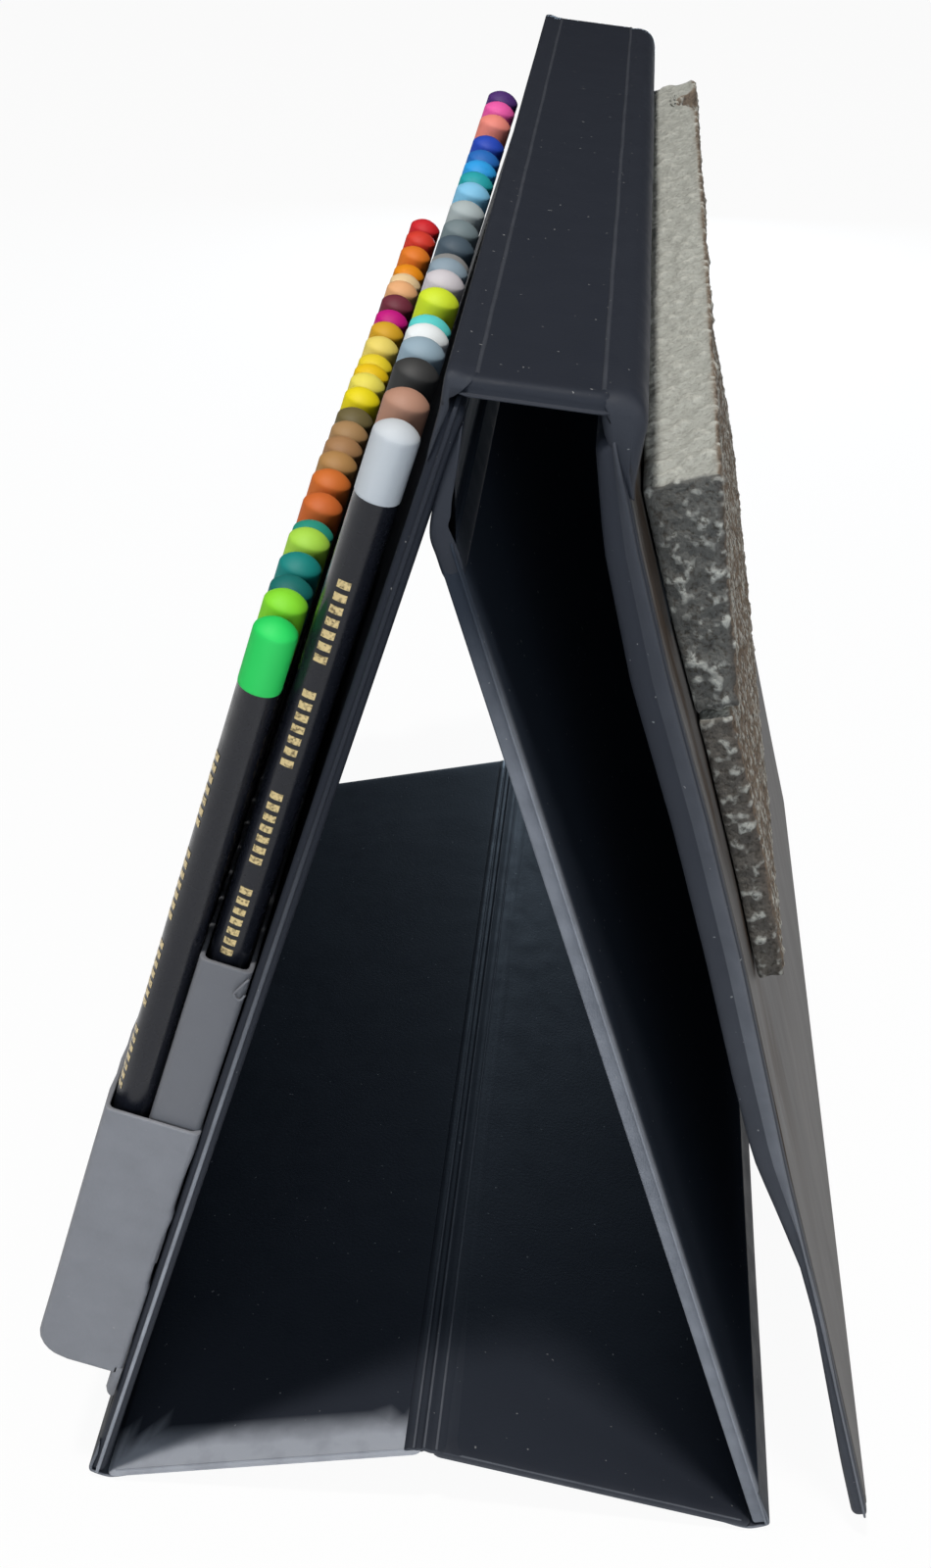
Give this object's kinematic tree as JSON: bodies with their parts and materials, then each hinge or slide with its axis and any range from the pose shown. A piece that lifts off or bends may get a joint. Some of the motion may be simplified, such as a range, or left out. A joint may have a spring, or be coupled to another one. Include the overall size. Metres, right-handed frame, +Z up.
{
  "type": "easel pencil case",
  "caption": "Fold-out easel case of vinyl-wrapped boards: pencils stand in pockets on a leaning panel, over a creased base, a leg, a spine and a padded cover.",
  "frame": {"origin": "floor, under the middle of the standing case's box", "axes": "+Y along the folds to the far end of the pencil rows, +X from the pencil side to the cover side, +Z up"},
  "size_m": [0.171, 0.28, 0.2504],
  "materials": {
    "vinyl_black": "satin",
    "vinyl_grey": "satin",
    "foam_grey": "open-cell foam",
    "foam_taupe": "open-cell foam",
    "cap_silver": "gloss paint",
    "cap_tan_brown": "gloss paint",
    "cap_charcoal": "gloss paint",
    "cap_blue_grey": "gloss paint",
    "cap_white": "gloss paint",
    "cap_turquoise": "gloss paint",
    "cap_lime_yellow": "gloss paint",
    "cap_pale_pink_grey": "gloss paint",
    "cap_mid_blue_grey": "gloss paint",
    "cap_warm_grey": "gloss paint",
    "cap_slate": "gloss paint",
    "cap_grey_green": "gloss paint",
    "cap_light_grey": "gloss paint",
    "cap_pale_sky_blue": "gloss paint",
    "cap_teal_cyan": "gloss paint",
    "cap_sky_blue": "gloss paint",
    "cap_blue": "gloss paint",
    "cap_royal_blue": "gloss paint",
    "cap_salmon": "gloss paint",
    "cap_pink": "gloss paint",
    "cap_purple": "gloss paint",
    "cap_bright_green": "gloss paint",
    "cap_lime_green": "gloss paint",
    "cap_deep_teal": "gloss paint",
    "cap_teal": "gloss paint",
    "cap_yellow_green": "gloss paint",
    "cap_sea_green": "gloss paint",
    "cap_burnt_orange": "gloss paint",
    "cap_rust_orange": "gloss paint",
    "cap_ochre_tan": "gloss paint",
    "cap_tan": "gloss paint",
    "cap_sand": "gloss paint",
    "cap_olive_grey": "gloss paint",
    "cap_yellow": "gloss paint",
    "cap_light_yellow": "gloss paint",
    "cap_golden_yellow": "gloss paint",
    "cap_lemon": "gloss paint",
    "cap_pale_yellow": "gloss paint",
    "cap_golden_ochre": "gloss paint",
    "cap_magenta": "gloss paint",
    "cap_maroon": "gloss paint",
    "cap_peach": "gloss paint",
    "cap_cream": "gloss paint",
    "cap_orange_yellow": "gloss paint",
    "cap_orange": "gloss paint",
    "cap_red_orange": "gloss paint",
    "cap_red": "gloss paint"
  },
  "bodies": {
    "pencil_panel": {"pencil_panel": "vinyl_black", "upper_pocket": "vinyl_grey", "lower_pocket": "vinyl_grey", "spine_hinge_strip": "vinyl_black", "leg_hinge_strip": "vinyl_black"},
    "base_front": {"base_front": "vinyl_black"},
    "base_rear": {"base_rear": "vinyl_black"},
    "easel_leg": {"easel_leg": "vinyl_black"},
    "spine": {"spine": "vinyl_black"},
    "cover": {"cover": "vinyl_black", "cover_hinge_strip": "vinyl_black", "foam_bar_thick": "foam_grey", "foam_bar_thin": "foam_taupe"},
    "pencil_rear_01": {"pencil_rear_01": "cap_silver"},
    "pencil_rear_02": {"pencil_rear_02": "cap_tan_brown"},
    "pencil_rear_03": {"pencil_rear_03": "cap_charcoal"},
    "pencil_rear_04": {"pencil_rear_04": "cap_blue_grey"},
    "pencil_rear_05": {"pencil_rear_05": "cap_white"},
    "pencil_rear_06": {"pencil_rear_06": "cap_turquoise"},
    "pencil_rear_07": {"pencil_rear_07": "cap_lime_yellow"},
    "pencil_rear_08": {"pencil_rear_08": "cap_pale_pink_grey"},
    "pencil_rear_09": {"pencil_rear_09": "cap_mid_blue_grey"},
    "pencil_rear_10": {"pencil_rear_10": "cap_warm_grey"},
    "pencil_rear_11": {"pencil_rear_11": "cap_slate"},
    "pencil_rear_12": {"pencil_rear_12": "cap_grey_green"},
    "pencil_rear_13": {"pencil_rear_13": "cap_light_grey"},
    "pencil_rear_14": {"pencil_rear_14": "cap_pale_sky_blue"},
    "pencil_rear_15": {"pencil_rear_15": "cap_teal_cyan"},
    "pencil_rear_16": {"pencil_rear_16": "cap_sky_blue"},
    "pencil_rear_17": {"pencil_rear_17": "cap_blue"},
    "pencil_rear_18": {"pencil_rear_18": "cap_royal_blue"},
    "pencil_rear_19": {"pencil_rear_19": "cap_salmon"},
    "pencil_rear_20": {"pencil_rear_20": "cap_pink"},
    "pencil_rear_21": {"pencil_rear_21": "cap_purple"},
    "pencil_front_01": {"pencil_front_01": "cap_bright_green"},
    "pencil_front_02": {"pencil_front_02": "cap_lime_green"},
    "pencil_front_03": {"pencil_front_03": "cap_deep_teal"},
    "pencil_front_04": {"pencil_front_04": "cap_teal"},
    "pencil_front_05": {"pencil_front_05": "cap_yellow_green"},
    "pencil_front_06": {"pencil_front_06": "cap_sea_green"},
    "pencil_front_07": {"pencil_front_07": "cap_burnt_orange"},
    "pencil_front_08": {"pencil_front_08": "cap_rust_orange"},
    "pencil_front_09": {"pencil_front_09": "cap_ochre_tan"},
    "pencil_front_10": {"pencil_front_10": "cap_tan"},
    "pencil_front_11": {"pencil_front_11": "cap_sand"},
    "pencil_front_12": {"pencil_front_12": "cap_olive_grey"},
    "pencil_front_13": {"pencil_front_13": "cap_yellow"},
    "pencil_front_14": {"pencil_front_14": "cap_light_yellow"},
    "pencil_front_15": {"pencil_front_15": "cap_golden_yellow"},
    "pencil_front_16": {"pencil_front_16": "cap_lemon"},
    "pencil_front_17": {"pencil_front_17": "cap_pale_yellow"},
    "pencil_front_18": {"pencil_front_18": "cap_golden_ochre"},
    "pencil_front_19": {"pencil_front_19": "cap_magenta"},
    "pencil_front_20": {"pencil_front_20": "cap_maroon"},
    "pencil_front_21": {"pencil_front_21": "cap_peach"},
    "pencil_front_22": {"pencil_front_22": "cap_cream"},
    "pencil_front_23": {"pencil_front_23": "cap_orange_yellow"},
    "pencil_front_24": {"pencil_front_24": "cap_orange"},
    "pencil_front_25": {"pencil_front_25": "cap_red_orange"},
    "pencil_front_26": {"pencil_front_26": "cap_red"}
  },
  "joints": [
    {"name": "base_crease_fold", "type": "hinge", "parent": "base_front", "child": "base_rear", "pos_m": [-0.0062, 0, 0.01549], "axis": [0, 1, 0], "range_deg": [0, 154.73]},
    {"name": "base_front_fold", "type": "hinge", "parent": "pencil_panel", "child": "base_front", "pos_m": [-0.07504, 0, 0.00211], "axis": [0, -1, 0], "range_deg": [0, 59.98]},
    {"name": "leg_foot_fold", "type": "hinge", "parent": "base_rear", "child": "easel_leg", "pos_m": [0.06264, 0, 0.00211], "axis": [0, -1, 0], "range_deg": [0, 60.45]},
    {"name": "spine_fold", "type": "hinge", "parent": "pencil_panel", "child": "spine", "pos_m": [-0.00177, 0, 0.24962], "axis": [0, -1, 0], "range_deg": [0, 168.4]},
    {"name": "cover_fold", "type": "hinge", "parent": "spine", "child": "cover", "pos_m": [0.02373, 0, 0.24643], "axis": [0, -1, 0], "range_deg": [0, 159.03]},
    {"name": "pencil_rear_01_slide", "type": "slide", "parent": "pencil_panel", "child": "pencil_rear_01", "axis": [-0.299, 0, -0.9542], "range_m": [-0.08, 0]},
    {"name": "pencil_rear_02_slide", "type": "slide", "parent": "pencil_panel", "child": "pencil_rear_02", "axis": [-0.299, 0, -0.9542], "range_m": [-0.08, 0]},
    {"name": "pencil_rear_03_slide", "type": "slide", "parent": "pencil_panel", "child": "pencil_rear_03", "axis": [-0.299, 0, -0.9542], "range_m": [-0.08, 0]},
    {"name": "pencil_rear_04_slide", "type": "slide", "parent": "pencil_panel", "child": "pencil_rear_04", "axis": [-0.299, 0, -0.9542], "range_m": [-0.08, 0]},
    {"name": "pencil_rear_05_slide", "type": "slide", "parent": "pencil_panel", "child": "pencil_rear_05", "axis": [-0.299, 0, -0.9542], "range_m": [-0.08, 0]},
    {"name": "pencil_rear_06_slide", "type": "slide", "parent": "pencil_panel", "child": "pencil_rear_06", "axis": [-0.299, 0, -0.9542], "range_m": [-0.08, 0]},
    {"name": "pencil_rear_07_slide", "type": "slide", "parent": "pencil_panel", "child": "pencil_rear_07", "axis": [-0.299, 0, -0.9542], "range_m": [-0.08, 0]},
    {"name": "pencil_rear_08_slide", "type": "slide", "parent": "pencil_panel", "child": "pencil_rear_08", "axis": [-0.299, 0, -0.9542], "range_m": [-0.08, 0]},
    {"name": "pencil_rear_09_slide", "type": "slide", "parent": "pencil_panel", "child": "pencil_rear_09", "axis": [-0.299, 0, -0.9542], "range_m": [-0.08, 0]},
    {"name": "pencil_rear_10_slide", "type": "slide", "parent": "pencil_panel", "child": "pencil_rear_10", "axis": [-0.299, 0, -0.9542], "range_m": [-0.08, 0]},
    {"name": "pencil_rear_11_slide", "type": "slide", "parent": "pencil_panel", "child": "pencil_rear_11", "axis": [-0.299, 0, -0.9542], "range_m": [-0.08, 0]},
    {"name": "pencil_rear_12_slide", "type": "slide", "parent": "pencil_panel", "child": "pencil_rear_12", "axis": [-0.299, 0, -0.9542], "range_m": [-0.08, 0]},
    {"name": "pencil_rear_13_slide", "type": "slide", "parent": "pencil_panel", "child": "pencil_rear_13", "axis": [-0.299, 0, -0.9542], "range_m": [-0.08, 0]},
    {"name": "pencil_rear_14_slide", "type": "slide", "parent": "pencil_panel", "child": "pencil_rear_14", "axis": [-0.299, 0, -0.9542], "range_m": [-0.08, 0]},
    {"name": "pencil_rear_15_slide", "type": "slide", "parent": "pencil_panel", "child": "pencil_rear_15", "axis": [-0.299, 0, -0.9542], "range_m": [-0.08, 0]},
    {"name": "pencil_rear_16_slide", "type": "slide", "parent": "pencil_panel", "child": "pencil_rear_16", "axis": [-0.299, 0, -0.9542], "range_m": [-0.08, 0]},
    {"name": "pencil_rear_17_slide", "type": "slide", "parent": "pencil_panel", "child": "pencil_rear_17", "axis": [-0.299, 0, -0.9542], "range_m": [-0.08, 0]},
    {"name": "pencil_rear_18_slide", "type": "slide", "parent": "pencil_panel", "child": "pencil_rear_18", "axis": [-0.299, 0, -0.9542], "range_m": [-0.08, 0]},
    {"name": "pencil_rear_19_slide", "type": "slide", "parent": "pencil_panel", "child": "pencil_rear_19", "axis": [-0.299, 0, -0.9542], "range_m": [-0.08, 0]},
    {"name": "pencil_rear_20_slide", "type": "slide", "parent": "pencil_panel", "child": "pencil_rear_20", "axis": [-0.299, 0, -0.9542], "range_m": [-0.08, 0]},
    {"name": "pencil_rear_21_slide", "type": "slide", "parent": "pencil_panel", "child": "pencil_rear_21", "axis": [-0.299, 0, -0.9542], "range_m": [-0.08, 0]},
    {"name": "pencil_front_01_slide", "type": "slide", "parent": "pencil_panel", "child": "pencil_front_01", "axis": [-0.299, 0, -0.9542], "range_m": [-0.08, 0]},
    {"name": "pencil_front_02_slide", "type": "slide", "parent": "pencil_panel", "child": "pencil_front_02", "axis": [-0.299, 0, -0.9542], "range_m": [-0.08, 0]},
    {"name": "pencil_front_03_slide", "type": "slide", "parent": "pencil_panel", "child": "pencil_front_03", "axis": [-0.299, 0, -0.9542], "range_m": [-0.08, 0]},
    {"name": "pencil_front_04_slide", "type": "slide", "parent": "pencil_panel", "child": "pencil_front_04", "axis": [-0.299, 0, -0.9542], "range_m": [-0.08, 0]},
    {"name": "pencil_front_05_slide", "type": "slide", "parent": "pencil_panel", "child": "pencil_front_05", "axis": [-0.299, 0, -0.9542], "range_m": [-0.08, 0]},
    {"name": "pencil_front_06_slide", "type": "slide", "parent": "pencil_panel", "child": "pencil_front_06", "axis": [-0.299, 0, -0.9542], "range_m": [-0.08, 0]},
    {"name": "pencil_front_07_slide", "type": "slide", "parent": "pencil_panel", "child": "pencil_front_07", "axis": [-0.299, 0, -0.9542], "range_m": [-0.08, 0]},
    {"name": "pencil_front_08_slide", "type": "slide", "parent": "pencil_panel", "child": "pencil_front_08", "axis": [-0.299, 0, -0.9542], "range_m": [-0.08, 0]},
    {"name": "pencil_front_09_slide", "type": "slide", "parent": "pencil_panel", "child": "pencil_front_09", "axis": [-0.299, 0, -0.9542], "range_m": [-0.08, 0]},
    {"name": "pencil_front_10_slide", "type": "slide", "parent": "pencil_panel", "child": "pencil_front_10", "axis": [-0.299, 0, -0.9542], "range_m": [-0.08, 0]},
    {"name": "pencil_front_11_slide", "type": "slide", "parent": "pencil_panel", "child": "pencil_front_11", "axis": [-0.299, 0, -0.9542], "range_m": [-0.08, 0]},
    {"name": "pencil_front_12_slide", "type": "slide", "parent": "pencil_panel", "child": "pencil_front_12", "axis": [-0.299, 0, -0.9542], "range_m": [-0.08, 0]},
    {"name": "pencil_front_13_slide", "type": "slide", "parent": "pencil_panel", "child": "pencil_front_13", "axis": [-0.299, 0, -0.9542], "range_m": [-0.08, 0]},
    {"name": "pencil_front_14_slide", "type": "slide", "parent": "pencil_panel", "child": "pencil_front_14", "axis": [-0.299, 0, -0.9542], "range_m": [-0.08, 0]},
    {"name": "pencil_front_15_slide", "type": "slide", "parent": "pencil_panel", "child": "pencil_front_15", "axis": [-0.299, 0, -0.9542], "range_m": [-0.08, 0]},
    {"name": "pencil_front_16_slide", "type": "slide", "parent": "pencil_panel", "child": "pencil_front_16", "axis": [-0.299, 0, -0.9542], "range_m": [-0.08, 0]},
    {"name": "pencil_front_17_slide", "type": "slide", "parent": "pencil_panel", "child": "pencil_front_17", "axis": [-0.299, 0, -0.9542], "range_m": [-0.08, 0]},
    {"name": "pencil_front_18_slide", "type": "slide", "parent": "pencil_panel", "child": "pencil_front_18", "axis": [-0.299, 0, -0.9542], "range_m": [-0.08, 0]},
    {"name": "pencil_front_19_slide", "type": "slide", "parent": "pencil_panel", "child": "pencil_front_19", "axis": [-0.299, 0, -0.9542], "range_m": [-0.08, 0]},
    {"name": "pencil_front_20_slide", "type": "slide", "parent": "pencil_panel", "child": "pencil_front_20", "axis": [-0.299, 0, -0.9542], "range_m": [-0.08, 0]},
    {"name": "pencil_front_21_slide", "type": "slide", "parent": "pencil_panel", "child": "pencil_front_21", "axis": [-0.299, 0, -0.9542], "range_m": [-0.08, 0]},
    {"name": "pencil_front_22_slide", "type": "slide", "parent": "pencil_panel", "child": "pencil_front_22", "axis": [-0.299, 0, -0.9542], "range_m": [-0.08, 0]},
    {"name": "pencil_front_23_slide", "type": "slide", "parent": "pencil_panel", "child": "pencil_front_23", "axis": [-0.299, 0, -0.9542], "range_m": [-0.08, 0]},
    {"name": "pencil_front_24_slide", "type": "slide", "parent": "pencil_panel", "child": "pencil_front_24", "axis": [-0.299, 0, -0.9542], "range_m": [-0.08, 0]},
    {"name": "pencil_front_25_slide", "type": "slide", "parent": "pencil_panel", "child": "pencil_front_25", "axis": [-0.299, 0, -0.9542], "range_m": [-0.08, 0]},
    {"name": "pencil_front_26_slide", "type": "slide", "parent": "pencil_panel", "child": "pencil_front_26", "axis": [-0.299, 0, -0.9542], "range_m": [-0.08, 0]}
  ],
  "couplings": [
    {"joint": "base_front_fold", "follows": "base_crease_fold", "ratio": 0.38755},
    {"joint": "leg_foot_fold", "follows": "base_crease_fold", "ratio": 0.39063}
  ]
}
